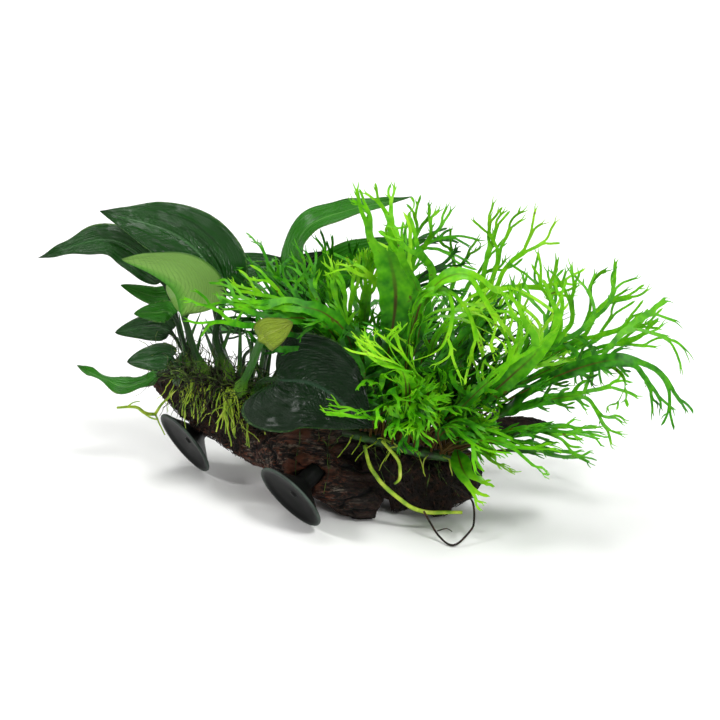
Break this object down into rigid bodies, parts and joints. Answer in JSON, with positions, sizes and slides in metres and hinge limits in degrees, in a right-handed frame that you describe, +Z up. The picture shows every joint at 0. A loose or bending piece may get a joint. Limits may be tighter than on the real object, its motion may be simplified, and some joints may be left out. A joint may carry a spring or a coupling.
{
  "type": "aquarium plants on driftwood",
  "caption": "Branching driftwood log on rubber suction cups, planted with a broad-leaved anubias and a lace-leaved java fern.",
  "frame": {"origin": "on the surface the log rests on, under the middle of the whole plant", "axes": "+X along the log towards the fern, -Y towards the front, +Z up"},
  "size_m": [0.2993, 0.1434, 0.1564],
  "materials": {
    "driftwood": "wet dark red-brown bark with fine fibres",
    "black_rubber": "moulded satin black rubber",
    "anubias_green": "thick glossy dark green leaf with sunken veins",
    "anubias_pale_green": "matte pale underside of a leaf with parallel veins",
    "anubias_olive": "old olive yellow leaf",
    "fern_green": "thin bright green frond with brown midrib",
    "rhizome_green": "smooth fleshy green stem",
    "pale_root": "yellow-green fleshy root",
    "dark_root": "black-brown felt of fine roots"
  },
  "bodies": {
    "root": {"log_trunk": "driftwood", "log_right_limb": "driftwood", "log_front_limb": "driftwood", "log_side_branch": "driftwood", "suction_cup_left": "black_rubber", "suction_cup_front": "black_rubber", "suction_cup_back": "black_rubber", "anubias_rhizome": "rhizome_green", "anubias_far_root": "pale_root", "anubias_root_mat": "dark_root", "anubias_leaf_top": "anubias_green", "anubias_leaf_pale": "anubias_pale_green", "anubias_leaf_far_left": "anubias_green", "anubias_leaf_back": "anubias_green", "anubias_leaf_arching": "anubias_green", "anubias_leaf_dark": "anubias_green", "anubias_leaf_striped": "anubias_green", "anubias_leaf_olive": "anubias_olive", "anubias_leaf_front": "anubias_green", "anubias_leaf_small_1": "anubias_green", "anubias_leaf_small_2": "anubias_green", "anubias_leaf_small_3": "anubias_green", "anubias_leaf_small_4": "anubias_green", "anubias_leaf_small_5": "anubias_green", "anubias_leaf_low_1": "anubias_green", "anubias_leaf_low_2": "anubias_green", "fern_rhizome": "rhizome_green", "fern_root_mat": "dark_root", "fern_long_root": "pale_root", "fern_curled_root": "pale_root", "fern_wire_root": "dark_root", "fern_leaf_01": "fern_green", "fern_leaf_02": "fern_green", "fern_leaf_03": "fern_green", "fern_leaf_04": "fern_green", "fern_leaf_05": "fern_green", "fern_leaf_06": "fern_green", "fern_leaf_07": "fern_green", "fern_leaf_08": "fern_green", "fern_leaf_09": "fern_green", "fern_leaf_10": "fern_green", "fern_leaf_11": "fern_green", "fern_leaf_12": "fern_green", "fern_leaf_13": "fern_green", "fern_leaf_14": "fern_green", "fern_leaf_15": "fern_green", "fern_leaf_16": "fern_green", "fern_leaf_17": "fern_green", "fern_leaf_18": "fern_green", "fern_leaf_19": "fern_green", "fern_leaf_20": "fern_green", "fern_leaf_21": "fern_green", "fern_leaf_22": "fern_green", "fern_leaf_23": "fern_green", "fern_leaf_24": "fern_green", "fern_leaf_25": "fern_green", "fern_leaf_26": "fern_green", "fern_leaf_27": "fern_green"}
  },
  "joints": []
}
